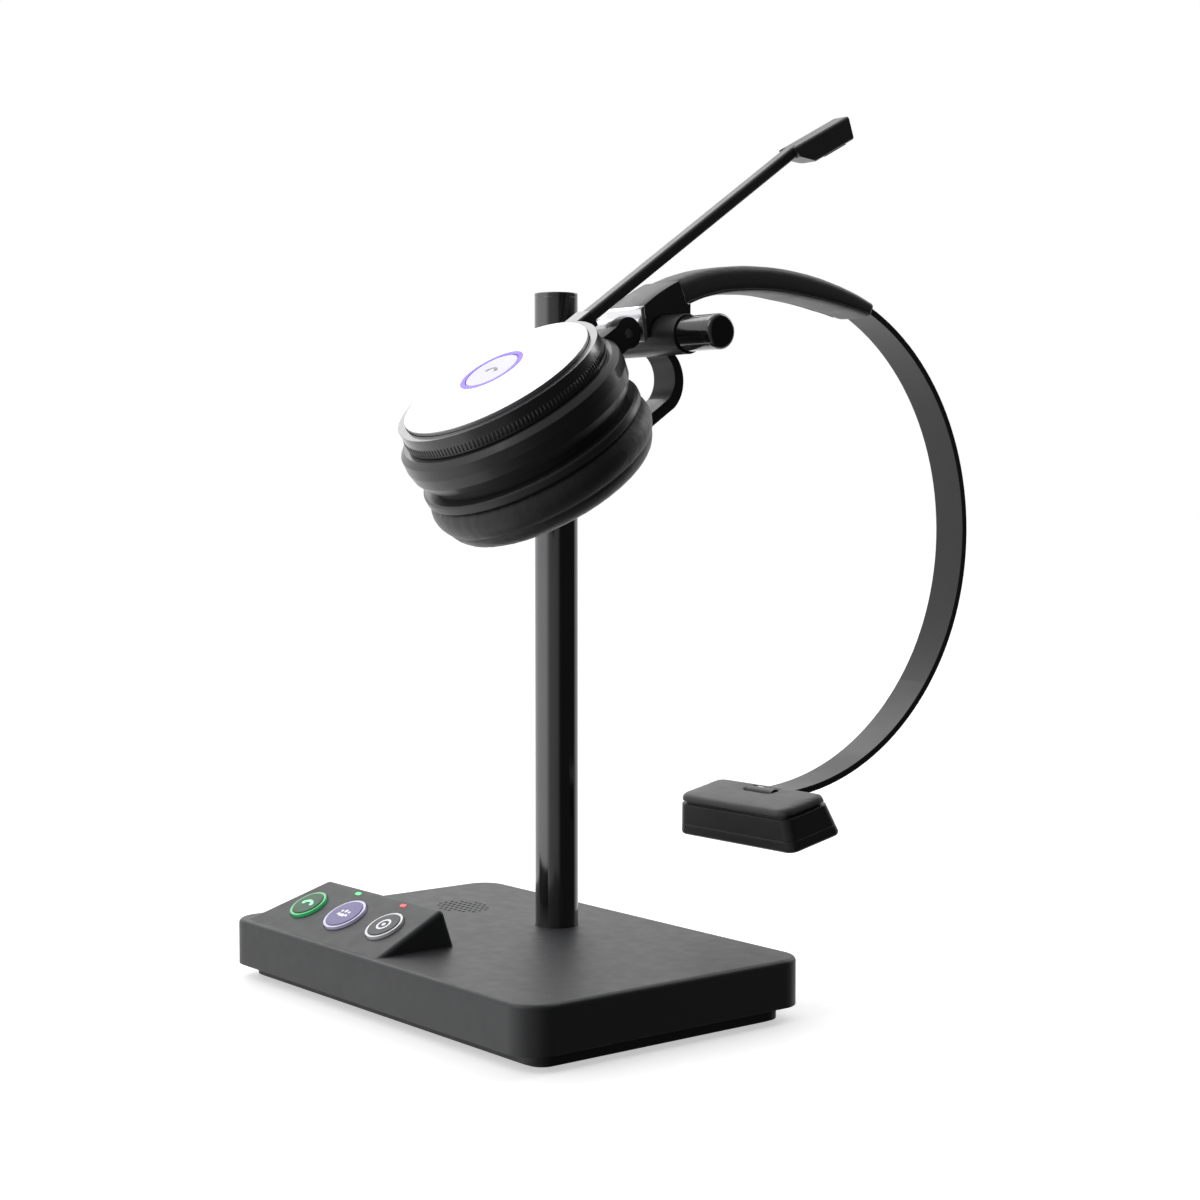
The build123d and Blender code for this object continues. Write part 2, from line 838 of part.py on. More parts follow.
def make_hinge_bracket():
    """Forked bracket on the cup's side: two ears round the slider's knuckle."""
    reach = hinge_in_cup.Y
    depth = -hinge_in_cup.Z
    inner = slide_width / 2 + ear_gap
    outer = inner + ear_width
    bracket = cup_block(2 * outer, cup_radius - 1.5, reach, depth - 3.4, depth + 3.4)
    bracket -= cup_disc(cup_radius + fit_gap, 0, cup_bottom + 5)
    bracket = cup.location * bracket
    bracket += along_x(hinge_radius, headset_x - outer, headset_x + outer, *hinge_point)
    bracket -= along_x(hinge_radius + 0.4, headset_x - inner, headset_x + inner, *hinge_point)
    front = front_plane().offset(0.2)
    bracket = split(bracket, bisect_by=front, keep=Keep.TOP)
    return bracket - along_x(hinge_pin_radius + running_gap, 0, base_width / 2, *hinge_point)


def crown_radius():
    """Radius of the sphere that gives the cup's face its shallow dome."""
    return (plate_radius**2 + plate_crown**2) / (2 * plate_crown)


def crown_height(radius):
    """Height of the dome above the face's rim, at a radius."""
    crown = crown_radius()
    return plate_crown - crown + (crown**2 - radius**2) ** 0.5


def make_cup_plate():
    """Round spun-metal face of the cup."""
    crown = crown_radius()
    plate = cup_disc(plate_radius, -plate_crown - 1, plate_thickness)
    plate &= Pos(0, 0, plate_crown - crown) * Sphere(crown)
    return cup.location * (plate - cup_disc(light_outer + 0.02, -5, 5))


def make_light_ring():
    """Light guide round the answer button."""
    top = -crown_height(light_outer)
    return cup.location * cup_tube(light_inner, light_outer, top, plate_thickness + 0.6)


def make_answer_button():
    """Round button in the middle of the cup's face."""
    button = cup_disc(light_inner - button_gap, -crown_height(light_outer), plate_thickness)
    button = fillet(button.edges().group_by(Axis.Z)[-1], 0.3)
    return cup.location * button


def make_cup_board():
    """Round circuit board under the plate, with a switch under the button."""
    board = cup_disc(hub_radius - 3.8, 4.2, 5.2)
    board += cup_disc(2.5, plate_thickness + button_travel + 0.3, 4.2)
    return cup.location * board


def make_cup_battery():
    """Flat battery pack behind the board."""
    bottom = cup_bottom - 3.2
    middle = bottom - battery_thickness / 2
    return cup.location * (Pos(0, 0, -middle) * Box(battery_width, battery_length, battery_thickness))


def make_cup_baffle():
    """Neck between the cup and the cushion; it closes the shell and holds the driver."""
    inside = cup_radius - 1.7 - cup_wall - 0.1
    neck = cup_tube(15.0, neck_radius, cup_bottom, lip_top)
    neck += cup_tube(15.0, inside, cup_bottom - 1.6, cup_bottom)
    return cup.location * neck


def make_speaker_driver():
    """Round loudspeaker in the baffle."""
    driver = cup_disc(14.9, cup_bottom - 0.8, lip_top + 1.0)
    driver += cup_disc(9.0, cup_bottom - 2.8, cup_bottom - 0.8)
    return cup.location * driver


def make_cushion_ring():
    """Stiff ring that the ear cushion is sewn to."""
    ring = cup_tube(16.0, lip_radius, lip_top, lip_bottom)
    edges = ring.edges().filter_by(GeomType.CIRCLE).sort_by(lambda e: e.radius)[-2:]
    return cup.location * fillet(edges, 0.7)


def make_ear_cushion():
    """Soft ring cushion, fullest near the ring and drawn in at its face."""
    top = -(lip_bottom + 0.05)
    section = Curve() + [
        Line((cushion_hole, top), (cushion_radius - 1.6, top)),
        ThreePointArc(
            (cushion_radius - 1.6, top),
            (cushion_radius, top - 3.6),
            (cushion_radius - 1.6, top - 8.0),
        ),
        ThreePointArc(
            (cushion_radius - 1.6, top - 8.0),
            (cushion_radius - 4.2, -cushion_bottom + 0.6),
            (cushion_radius - 8.0, -cushion_bottom),
        ),
        Line((cushion_radius - 8.0, -cushion_bottom), (cushion_hole + 4, -cushion_bottom)),
        ThreePointArc(
            (cushion_hole + 4, -cushion_bottom),
            (cushion_hole + 1.1, -cushion_bottom + 1.2),
            (cushion_hole, -cushion_bottom + 4),
        ),
        Line((cushion_hole, -cushion_bottom + 4), (cushion_hole, top)),
    ]
    return cup.location * revolve(Plane.XZ * make_face(section), Axis.Z)


def make_ear_mesh():
    """Cloth disc over the loudspeaker, inside the cushion."""
    return cup.location * cup_disc(cushion_hole - 0.1, lip_bottom + 0.1, lip_bottom + 0.7)


# ---------------------------------------------------------------- boom pieces
def boom_bar(width, height, near, far):
    """Bar along the boom's line."""
    return cup_block(width, near, far, boom_depth - height / 2, boom_depth + height / 2)


def make_boom_ring():
    """Turning ring round the cup's hub, with the boom's socket."""
    ring = cup_tube(plate_radius + 0.2, ring_radius, ring_top, plate_thickness + 0.4)
    ring += cup_tube(hub_radius + 0.08, ring_radius, plate_thickness + 0.4, ring_bottom)
    socket = cup_block(boom_width + 2.2, ring_radius - 1.0, socket_end, ring_top + 0.2, ring_bottom - 0.5)
    ring += fillet(socket.edges().filter_by(Axis.Y), 0.8)
    return cup.location * (ring - boom_bar(boom_width, boom_height, ring_radius, socket_end + 1))


def make_boom_arm():
    """Slim boom from the ring's socket to the microphone."""
    bar = boom_bar(boom_width, boom_height, ring_radius, boom_end)
    return cup.location * fillet(bar.edges().filter_by(Axis.Y), 0.9)


def mic_turn():
    """Bend of the microphone towards the mouth, about the boom's end."""
    hinge = Pos(0, mic_start, -boom_depth)
    return hinge * Rot(-mic_bend, 0, 0) * Pos(0, -mic_start, boom_depth)


def make_mic_capsule():
    """Microphone housing at the boom's end, with a slanted start."""
    top = -(boom_depth - boom_height / 2) + 0.1
    low = top - mic_height
    outline = Polyline(
        (mic_start, top),
        (mic_end, top),
        (mic_end - 0.8, low),
        (mic_start + 6.5, low),
        (mic_start + 1.0, top - boom_height),
        close=True,
    )
    body = extrude(Plane.YZ * make_face(outline), amount=mic_width / 2, both=True)
    body = fillet(body.edges().filter_by(Axis.Y), 0.9)
    body = mic_turn() * body
    body -= boom_bar(boom_width, boom_height + 0.3, mic_start - 1, boom_end)
    return cup.location * body


def make_mic_screen():
    """Small metal screen under the microphone's tip."""
    low = -(boom_depth - boom_height / 2) + 0.1 - mic_height
    screen = Pos(0, mic_end - 8, low - 0.15) * Box(4.6, 9.0, 0.3)
    return cup.location * mic_turn() * screen


# ---------------------------------------------------------------- head pad pieces
def pad_outline(depth, inset):
    """Outline of the pad at a depth below its top, with its place along the lean."""
    share = depth / pad_height
    length = pad_top_length + (pad_foot_length - pad_top_length) * share - 2 * inset
    across = pad_top_depth + (pad_foot_depth - pad_top_depth) * share - 2 * inset
    face = RectangleRounded(length, across, pad_corner - inset / 2)
    return Pos(0, pad_foot_shift * share, -depth) * face


def pad_slice(top, bottom, inset=0.0):
    """Tapered slice of the pad between two depths."""
    return loft([pad_outline(bottom, inset), pad_outline(top, inset)])


def pad_slot():
    """Room round the strip's eye and the strip, over the pad's swing."""
    reach = 14.0
    half = strip_thickness / 2 + 0.3
    rise = reach * sin(radians(pad_swing))
    y, z = pad_pivot
    edges = [
        Line((y, z + half), (y + reach, z + half + rise)),
        Line((y + reach, z + half + rise), (y + reach, z - half - rise)),
        Line((y + reach, z - half - rise), (y, z - half)),
        Line((y, z - half), (y, z + half)),
    ]
    slot = headset_plate(edges, strip_width + 0.8)
    room = along_x(
        pad_eye_radius + 0.3,
        headset_x - strip_width / 2 - 0.4,
        headset_x + strip_width / 2 + 0.4,
        *pad_pivot,
    )
    return slot + room


def pad_pin_bar(radius):
    """Round bar on the pad's pivot."""
    return along_x(radius, headset_x - 9, headset_x + 9, *pad_pivot)


def make_pad_cushion():
    """Soft top of the head pad."""
    soft = pad_slice(0, pad_seam)
    soft = fillet(soft.edges().group_by(Axis.Z)[-1], 1.4)
    return pad.location * soft - pad_slot() - pad_pin_bar(pad_pin_radius + fit_gap)


def make_pad_body():
    """Middle of the head pad, set in under the cushion by a narrow groove."""
    body = pad_slice(pad_seam + pad_groove, pad_height - pad_base_thickness)
    body += pad_slice(pad_seam, pad_seam + pad_groove, inset=0.9)
    return pad.location * body - pad_slot() - pad_pin_bar(pad_pin_radius + fit_gap)


def make_pad_base():
    """Foot plate of the head pad."""
    plate = pad_slice(pad_height - pad_base_thickness, pad_height)
    return pad.location * fillet(plate.edges().group_by(Axis.Z)[0], 1.0)


# ---------------------------------------------------------------- write every piece
def make_base():
    save("base_shell", make_base_shell())
    save("bottom_cover", make_bottom_cover())
    save("foot_mat", make_foot_mat())
    save("ballast_plate", make_ballast())
    save("main_board", make_main_board())
    save("base_speaker", make_base_speaker())
    save("key_board", make_key_board())
    save("key_switches", make_key_switches())
    save("lens_green", make_lens(lens_x[0], -1.6, 0.1))
    save("lens_red", make_lens(lens_x[1], -1.6, 0.1))
    save("usb_sockets", make_usb_sockets())
    save("cover_screws", make_cover_screws())
    for name, x, radius in zip(key_names, key_x, key_radius):
        save("key_" + name + "_skirt", make_key_skirt(radius, x))
        save("key_" + name + "_cap", make_key_cap(radius, x))


def make_stand():
    save("pole", make_pole())
    save("pole_cap", make_pole_cap())
    save("pole_plug", make_pole_plug())
    save("pole_screw", make_pole_screw())
    save("hanger_arm", make_arm())
    save("arm_stud", make_arm_stud())
    save("arm_end_cap", make_arm_cap())
    save("charge_collar", make_collar())
    save("charge_pins", make_charge_pins())
    save("cup_rest", make_cup_rest())


def make_headband():
    save("slider_housing", make_slider_housing())
    save("band_front_cap", make_front_cap())
    save("charge_pads", make_charge_pads())
    save("band_cover", make_band_cover())
    save("band_spring", make_band_spring())
    save("slider_strip", make_slider_strip())
    save("hinge_pin", make_hinge_pin())


def make_cup():
    save("cup_housing", make_cup_housing())
    save("hinge_bracket", make_hinge_bracket())
    save("cup_plate", make_cup_plate())
    save("light_ring", make_light_ring())
    save("answer_button", make_answer_button())
    save("cup_board", make_cup_board())
    save("cup_battery", make_cup_battery())
    save("cup_baffle", make_cup_baffle())
    save("speaker_driver", make_speaker_driver())
    save("cushion_ring", make_cushion_ring())
    save("ear_cushion", make_ear_cushion())
    save("ear_mesh", make_ear_mesh())


def make_boom():
    save("boom_ring", make_boom_ring())
    save("boom_arm", make_boom_arm())
    save("mic_capsule", make_mic_capsule())
    save("mic_screen", make_mic_screen())


def make_pad():
    save("pad_cushion", make_pad_cushion())
    save("pad_body", make_pad_body())
    save("pad_base", make_pad_base())
    save("pad_pin", pad_pin_bar(pad_pin_radius))


make_base()
make_stand()
make_headband()
make_cup()
make_boom()
make_pad()
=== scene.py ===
"""Looks of a wireless office headset on its charging stand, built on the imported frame.

Everything is in metres, in the CAD's frame: +X along the base, +Y to the back, +Z up.
"""
import json
from math import cos, pi, radians, sin

import bpy
import numpy as np
from mathutils import Matrix, Vector, noise


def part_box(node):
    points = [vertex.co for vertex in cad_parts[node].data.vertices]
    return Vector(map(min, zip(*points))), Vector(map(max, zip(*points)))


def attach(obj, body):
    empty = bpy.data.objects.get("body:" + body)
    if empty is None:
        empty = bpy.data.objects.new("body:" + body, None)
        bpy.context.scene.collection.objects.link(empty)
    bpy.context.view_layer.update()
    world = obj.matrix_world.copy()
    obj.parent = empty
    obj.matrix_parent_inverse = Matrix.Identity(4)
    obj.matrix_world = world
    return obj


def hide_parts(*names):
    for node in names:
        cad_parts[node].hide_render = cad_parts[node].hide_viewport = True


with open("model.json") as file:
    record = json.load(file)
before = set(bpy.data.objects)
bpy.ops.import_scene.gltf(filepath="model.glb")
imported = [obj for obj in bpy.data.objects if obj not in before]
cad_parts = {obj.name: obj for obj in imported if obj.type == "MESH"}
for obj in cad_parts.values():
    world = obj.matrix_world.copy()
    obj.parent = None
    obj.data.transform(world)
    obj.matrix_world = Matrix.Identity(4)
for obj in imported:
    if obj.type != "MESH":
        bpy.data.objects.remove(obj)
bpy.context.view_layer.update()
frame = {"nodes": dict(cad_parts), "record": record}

MM = 0.001
PLANE_X = 36.0 * MM

# The cup's frame: its centre on the face's rim plane and its outward axis.
CUP_TILT = radians(34.1)
CUP_CENTRE = Vector((PLANE_X, -29.5 * MM, 166.85 * MM))
CUP_OUT = Vector((0, -sin(CUP_TILT), cos(CUP_TILT)))
CUP_UP = Vector((0, cos(CUP_TILT), sin(CUP_TILT)))
CUP_FRAME = Matrix.Translation(CUP_CENTRE) @ Matrix((
    (1, 0, 0, 0),
    (0, CUP_UP.y, CUP_OUT.y, 0),
    (0, CUP_UP.z, CUP_OUT.z, 0),
    (0, 0, 0, 1),
))

# The headband's tangent arcs: centre in Y and Z, outer radius.
BAND_FRONT = ((50.539, 136.120), 62.5)
BAND_TOP = ((57.4, 87.3), 111.8)
BAND_REAR = ((68.722, 125.770), 71.7)
BAND_TURNS = (-24.0, -8.0, 16.4, 24.3)

# The sleeve's thickness in mm, and how it thins towards its rear end.
SLEEVE_THICKNESS = 7.3
SLEEVE_THINNING = 2.7
TAPER_START = 7.0
TAPER_POWER = 1.3
SLEEVE_HALF_WIDTH = 7.0
PIPING_RADIUS = 0.28
PIPING_SIDE = 6.9
PIPING_RISE = 0.75

KEY_SLOPE = radians(27.0)
SLOPE_OUT = Vector((0, -sin(KEY_SLOPE), cos(KEY_SLOPE)))


# ---------------------------------------------------------------- node helpers
def add(tree, kind, values=None, **settings):
    """New node with its settings and the values of its inputs."""
    node = tree.nodes.new(kind)
    for key, value in settings.items():
        setattr(node, key, value)
    for key, value in (values or {}).items():
        node.inputs[key].default_value = value
    return node


def join(tree, *pairs):
    """Links outputs to inputs."""
    for output, socket in pairs:
        tree.links.new(output, socket)


def rgba(colour):
    return (*colour, 1.0)


def math_node(tree, operation, first, second):
    """Math node on two sockets or numbers."""
    node = add(tree, "ShaderNodeMath", operation=operation)
    for place, value in enumerate((first, second)):
        if isinstance(value, (int, float)):
            node.inputs[place].default_value = value
        else:
            tree.links.new(value, node.inputs[place])
    return node.outputs[0]


def remap(tree, value, low, high, to_low, to_high):
    """Value moved from one range to another, kept inside it."""
    values = {"From Min": low, "From Max": high, "To Min": to_low, "To Max": to_high}
    node = add(tree, "ShaderNodeMapRange", values)
    tree.links.new(value, node.inputs["Value"])
    return node.outputs["Result"]


def blend_colour(tree, share, first, second):
    """Mix of two colours or colour sockets."""
    node = add(tree, "ShaderNodeMix", data_type="RGBA")
    tree.links.new(share, node.inputs[0])
    for place, value in ((6, first), (7, second)):
        if isinstance(value, tuple):
            node.inputs[place].default_value = rgba(value)
        else:
            tree.links.new(value, node.inputs[place])
    return node.outputs[2]


def noise_at(tree, place, scale, detail=3.0):
    """Noise of features about 1/scale metres across."""
    node = add(tree, "ShaderNodeTexNoise", {"Scale": scale, "Detail": detail, "Roughness": 0.55})
    tree.links.new(place, node.inputs["Vector"])
    return node.outputs[0]


def stretched(tree, place, factors, turn=0.0):
    """Coordinates stretched along the axes, for grain that runs one way."""
    node = add(tree, "ShaderNodeMapping")
    node.inputs["Scale"].default_value = factors
    node.inputs["Rotation"].default_value = (turn, 0, 0)
    tree.links.new(place, node.inputs["Vector"])
    return node.outputs[0]


# ---------------------------------------------------------------- surface grains
def grain_moulded(tree, place, size):
    """Fine spark-eroded texture of moulded plastic."""
    fine = noise_at(tree, place, 1 / size, 2.0)
    broad = noise_at(tree, place, 0.22 / size, 2.0)
    return math_node(tree, "ADD", fine, math_node(tree, "MULTIPLY", broad, 0.6))


def grain_leather(tree, place, size):
    """Pebbled leatherette: rounded cells with creases between."""
    bent = noise_at(tree, place, 0.5 / size, 2.0)
    cells = add(tree, "ShaderNodeTexVoronoi", {"Scale": 1 / size, "Randomness": 1.0}, feature="SMOOTH_F1")
    shift = add(tree, "ShaderNodeVectorMath", operation="ADD")
    scaled = add(tree, "ShaderNodeVectorMath", {1: (size, size, size)}, operation="MULTIPLY")
    join(tree, (bent, scaled.inputs[0]), (place, shift.inputs[0]), (scaled.outputs[0], shift.inputs[1]))
    join(tree, (shift.outputs[0], cells.inputs["Vector"]))
    hollow = math_node(tree, "MULTIPLY", cells.outputs["Distance"], -1.4)
    return math_node(tree, "ADD", hollow, math_node(tree, "MULTIPLY", noise_at(tree, place, 3 / size), 0.35))


def grain_brushed(tree, place, size):
    """Straight brushing along X."""
    lines = stretched(tree, place, (0.02, 1.0, 1.0))
    return noise_at(tree, lines, 1 / size, 4.0)


def grain_lengthwise(tree, place, size):
    """Drawing lines along Z, as on a tube."""
    lines = stretched(tree, place, (1.0, 1.0, 0.01))
    return noise_at(tree, lines, 1 / size, 3.0)


def cup_radius_socket(tree, place):
    """Distance from the cup's axis, for rings round it."""
    arm = add(tree, "ShaderNodeVectorMath", {1: tuple(CUP_CENTRE)}, operation="SUBTRACT")
    across = add(tree, "ShaderNodeVectorMath", {1: tuple(CUP_OUT)}, operation="CROSS_PRODUCT")
    length = add(tree, "ShaderNodeVectorMath", operation="LENGTH")
    join(tree, (place, arm.inputs[0]), (arm.outputs[0], across.inputs[0]), (across.outputs[0], length.inputs[0]))
    return length.outputs["Value"], across.outputs[0]


def grain_spun(tree, place, size):
    """Turning rings round the cup's axis."""
    radius, _ = cup_radius_socket(tree, place)
    rings = add(tree, "ShaderNodeTexNoise", {"Scale": 1 / size, "Detail": 5.0}, noise_dimensions="1D")
    join(tree, (radius, rings.inputs["W"]))
    return rings.outputs[0]


def grain_weave(tree, place, size):
    """Crossed threads."""
    waves = []
    for direction in ("X", "Y"):
        wave = add(tree, "ShaderNodeTexWave", {"Scale": 0.32 / size, "Distortion": 0.4}, bands_direction=direction)
        join(tree, (place, wave.inputs["Vector"]))
        waves.append(wave.outputs["Fac"])
    return math_node(tree, "MULTIPLY", *waves)


def grain_ribbed(tree, place, size):
    """Fine parallel ribs of a rubber mat, with a matte texture between."""
    wave = add(tree, "ShaderNodeTexWave", {"Scale": 0.32 / size, "Distortion": 0.0}, bands_direction="X")
    join(tree, (place, wave.inputs["Vector"]))
    return math_node(tree, "ADD", wave.outputs["Fac"], math_node(tree, "MULTIPLY", noise_at(tree, place, 4000), 0.3))


def grain_traces(tree, place, size):
    """Copper runs under solder mask."""
    cells = add(tree, "ShaderNodeTexVoronoi", {"Scale": 1 / size}, feature="F1", distance="MANHATTAN")
    join(tree, (place, cells.inputs["Vector"]))
    return remap(tree, cells.outputs["Distance"], 0.35, 0.45, 0.0, 1.0)


GRAINS = {
    "moulded": grain_moulded,
    "leather": grain_leather,
    "brushed": grain_brushed,
    "lengthwise": grain_lengthwise,
    "spun": grain_spun,
    "weave": grain_weave,
    "ribbed": grain_ribbed,
    "traces": grain_traces,
}


def make_finish(name, colour, rough, grain="moulded", size=0.25, depth=0.012, swing=0.05, metal=0.0,
                coat=0.0, sheen=0.0, edge=0.25, wear=0.35, glow=0.0, glow_colour=None, spin=0.0, specular=0.5):
    """Node material: uneven colour and roughness, grain with painted shade in its hollows, softened edges and rubbed
    corners. Sizes in mm.
    """
    material = bpy.data.materials.new(name)
    material.use_nodes = True
    tree = material.node_tree
    shader = tree.nodes["Principled BSDF"]
    place = add(tree, "ShaderNodeTexCoord").outputs["Object"]
    height = GRAINS[grain](tree, place, size * MM)
    clouds = noise_at(tree, place, 70.0, 4.0)
    smears = noise_at(tree, place, 230.0, 5.0)
    darker = tuple(c * (1 - swing) for c in colour)
    lighter = tuple(min(1.0, c * (1 + swing)) for c in colour)
    base = blend_colour(tree, remap(tree, clouds, 0.3, 0.7, 0.0, 1.0), darker, lighter)
    # Painted shade: the grain's crests are lightened and its hollows stay darker, following the bump height.
    painted_grain_shade = remap(tree, height, 0.1, 0.7, 0.0, 1.0)
    base = blend_colour(tree, math_node(tree, "MULTIPLY", painted_grain_shade, 0.25), base, lighter)
    soft_edge = add(tree, "ShaderNodeBevel", {"Radius": edge * MM}, samples=4)
    true_normal = add(tree, "ShaderNodeNewGeometry").outputs["Normal"]
    facing = add(tree, "ShaderNodeVectorMath", operation="DOT_PRODUCT")
    join(tree, (soft_edge.outputs[0], facing.inputs[0]), (true_normal, facing.inputs[1]))
    corner = remap(tree, facing.outputs["Value"], 0.97, 0.75, 0.0, 1.0)
    rubbed = math_node(tree, "MULTIPLY", corner, remap(tree, smears, 0.45, 0.62, 0.0, wear))
    worn = tuple(min(1.0, c * 1.8 + 0.03) for c in colour)
    base = blend_colour(tree, rubbed, base, worn)
    roughness = remap(tree, smears, 0.3, 0.7, max(0.03, rough * 0.92), min(1.0, rough * 1.08))
    bump = add(tree, "ShaderNodeBump", {"Strength": 0.7, "Distance": depth * MM})
    join(
        tree,
        (height, bump.inputs["Height"]),
        (soft_edge.outputs[0], bump.inputs["Normal"]),
        (bump.outputs[0], shader.inputs["Normal"]),
        (base, shader.inputs["Base Color"]),
        (roughness, shader.inputs["Roughness"]),
    )
    shader.inputs["Metallic"].default_value = metal
    shader.inputs["Specular IOR Level"].default_value = specular
    shader.inputs["Coat Weight"].default_value = coat
    shader.inputs["Coat Roughness"].default_value = 0.12
    shader.inputs["Sheen Weight"].default_value = sheen
    shader.inputs["Sheen Roughness"].default_value = 0.45
    if glow:
        shader.inputs["Emission Color"].default_value = rgba(glow_colour or colour)
        shader.inputs["Emission Strength"].default_value = glow
    if spin:
        _, around = cup_radius_socket(tree, place)
        turned = add(tree, "ShaderNodeVectorTransform", vector_type="VECTOR", convert_from="OBJECT", convert_to="WORLD")
        unit = add(tree, "ShaderNodeVectorMath", operation="NORMALIZE")
        join(tree, (around, turned.inputs[0]), (turned.outputs[0], unit.inputs[0]), (unit.outputs[0], shader.inputs["Tangent"]))
        shader.inputs["Anisotropic"].default_value = spin
    return material


FINISHES = {
    "shell_plastic": dict(colour=(0.034, 0.035, 0.038), rough=0.46, size=0.3, depth=0.02, edge=0.5, wear=0.5),
    "plinth_plastic": dict(colour=(0.010, 0.010, 0.011), rough=0.6),
    "mat_rubber": dict(colour=(0.012, 0.012, 0.012), rough=0.85, grain="ribbed", size=2.0, depth=0.2),
    "plain_steel": dict(colour=(0.5, 0.51, 0.53), rough=0.35, grain="brushed", size=0.2, metal=1.0),
    "board": dict(colour=(0.015, 0.10, 0.04), rough=0.4, grain="traces", size=3.0, depth=0.03, swing=0.3),
    "inner_black": dict(colour=(0.02, 0.02, 0.02), rough=0.55),
    "lens_green": dict(colour=(0.05, 0.65, 0.2), rough=0.25, glow=0.5, glow_colour=(0.1, 0.9, 0.3)),
    "lens_red": dict(colour=(0.75, 0.02, 0.03), rough=0.25, glow=0.5, glow_colour=(1.0, 0.05, 0.06)),
    "socket_steel": dict(colour=(0.6, 0.6, 0.62), rough=0.3, grain="brushed", size=0.15, metal=1.0),
    "skirt_green": dict(
        colour=(0.03, 0.40, 0.13), rough=0.3, coat=0.4, glow=0.22, glow_colour=(0.06, 0.85, 0.25),
        wear=0.1,
    ),
    "cap_green": dict(colour=(0.008, 0.085, 0.030), rough=0.42, size=0.2),
    "skirt_lilac": dict(
        colour=(0.62, 0.60, 0.80), rough=0.3, coat=0.4, glow=0.12, glow_colour=(0.70, 0.66, 0.95),
        wear=0.1,
    ),
    "cap_lilac": dict(colour=(0.20, 0.17, 0.38), rough=0.42, size=0.2),
    "skirt_white": dict(
        colour=(0.75, 0.75, 0.78), rough=0.3, coat=0.4, glow=0.05, glow_colour=(0.9, 0.9, 1.0), wear=0.1,
    ),
    "cap_grey": dict(colour=(0.040, 0.041, 0.045), rough=0.42, size=0.2),
    "pole_metal": dict(
        colour=(0.160, 0.160, 0.165), rough=0.13, grain="lengthwise", size=0.3, depth=0.001, metal=1.0,
        swing=0.05,
    ),
    "arm_gloss": dict(colour=(0.008, 0.008, 0.009), rough=0.16, size=0.6, depth=0.003, coat=0.8, edge=0.3),
    "collar_plastic": dict(colour=(0.018, 0.018, 0.020), rough=0.36, size=0.25, depth=0.01),
    "contact_gold": dict(colour=(0.85, 0.62, 0.24), rough=0.22, grain="brushed", size=0.1, metal=1.0),
    "housing_plastic": dict(colour=(0.026, 0.026, 0.029), rough=0.38, size=0.3, depth=0.012, edge=0.4),
    "bright_metal": dict(
        colour=(0.86, 0.86, 0.88), rough=0.14, grain="brushed", size=0.1, depth=0.002, metal=1.0,
    ),
    "band_leather": dict(
        colour=(0.046, 0.046, 0.050), rough=0.50, grain="leather", size=0.55, depth=0.035, sheen=0.25,
        edge=0.1,
    ),
    "band_steel": dict(
        colour=(0.016, 0.016, 0.018), rough=0.38, size=0.3, depth=0.006, coat=0.1, edge=0.3, wear=0.4,
    ),
    "slider_steel": dict(
        colour=(0.55, 0.55, 0.57), rough=0.25, grain="brushed", size=0.15, depth=0.005, metal=1.0,
    ),
    "cup_plastic": dict(colour=(0.024, 0.024, 0.026), rough=0.33, size=0.3, depth=0.008, coat=0.15, edge=0.4),
    "spun_metal": dict(
        colour=(0.66, 0.66, 0.67), rough=0.30, grain="spun", size=0.6, depth=0.0006, metal=1.0, spin=0.85,
        edge=0.3, swing=0.04,
    ),
    "light_guide": dict(
        colour=(0.10, 0.02, 0.45), rough=0.35, glow=0.62, glow_colour=(0.10, 0.018, 0.72), edge=0.1,
    ),
    # Painted light: the answer button is given a faint lilac glow of its own, though it is no lamp.
    "button_plastic": dict(
        colour=(0.52, 0.51, 0.55), rough=0.35, coat=0.2, glow=0.12, glow_colour=(0.75, 0.68, 1.0),
        swing=0.05,
    ),
    "battery_foil": dict(colour=(0.55, 0.55, 0.57), rough=0.4, grain="brushed", metal=1.0),
    "lip_plastic": dict(colour=(0.034, 0.034, 0.037), rough=0.34, size=0.3, depth=0.008, edge=0.3),
    "cushion_leather": dict(
        colour=(0.022, 0.022, 0.024), rough=0.46, grain="leather", size=0.6, depth=0.04, sheen=0.3,
        edge=0.1,
    ),
    "mesh_cloth": dict(
        colour=(0.012, 0.012, 0.012), rough=0.9, grain="weave", size=0.5, depth=0.08, sheen=0.3,
    ),
    "ring_plastic": dict(
        colour=(0.030, 0.030, 0.033), rough=0.27, size=0.3, depth=0.006, coat=0.5, edge=0.25,
    ),
    "boom_plastic": dict(colour=(0.040, 0.040, 0.043), rough=0.36, size=0.3, depth=0.01, coat=0.1, edge=0.4),
    "screen_metal": dict(
        colour=(0.16, 0.16, 0.17), rough=0.4, grain="weave", size=0.35, depth=0.08, metal=1.0,
    ),
    "pad_soft": dict(
        colour=(0.070, 0.070, 0.073), rough=0.5, grain="leather", size=0.5, depth=0.03, sheen=0.25,
        edge=0.1,
    ),
    "pad_plastic": dict(colour=(0.022, 0.022, 0.024), rough=0.4, size=0.3, depth=0.012, edge=0.5, wear=0.45),
}
materials = {name: make_finish(name, **recipe) for name, recipe in FINISHES.items()}
icon_white = make_finish("icon_white", (0.75, 0.75, 0.78), 0.5, glow=0.35, glow_colour=(0.9, 0.9, 1.0), edge=0.02)
icon_green = make_finish("icon_green", (0.30, 0.80, 0.45), 0.5, glow=0.7, glow_colour=(0.35, 1.0, 0.55), edge=0.02)
icon_faint = make_finish("icon_faint", (0.38, 0.36, 0.46), 0.5, edge=0.02)
thread_dark = make_finish("thread_dark", (0.016, 0.016, 0.018), 0.7, grain="weave", size=0.2, depth=0.03, sheen=0.3, edge=0.05)

for part in frame["record"]["subparts"]:
    node = frame["nodes"][part["node"]]
    node.data.materials.clear()
    node.data.materials.append(materials[part["material_slot"]])


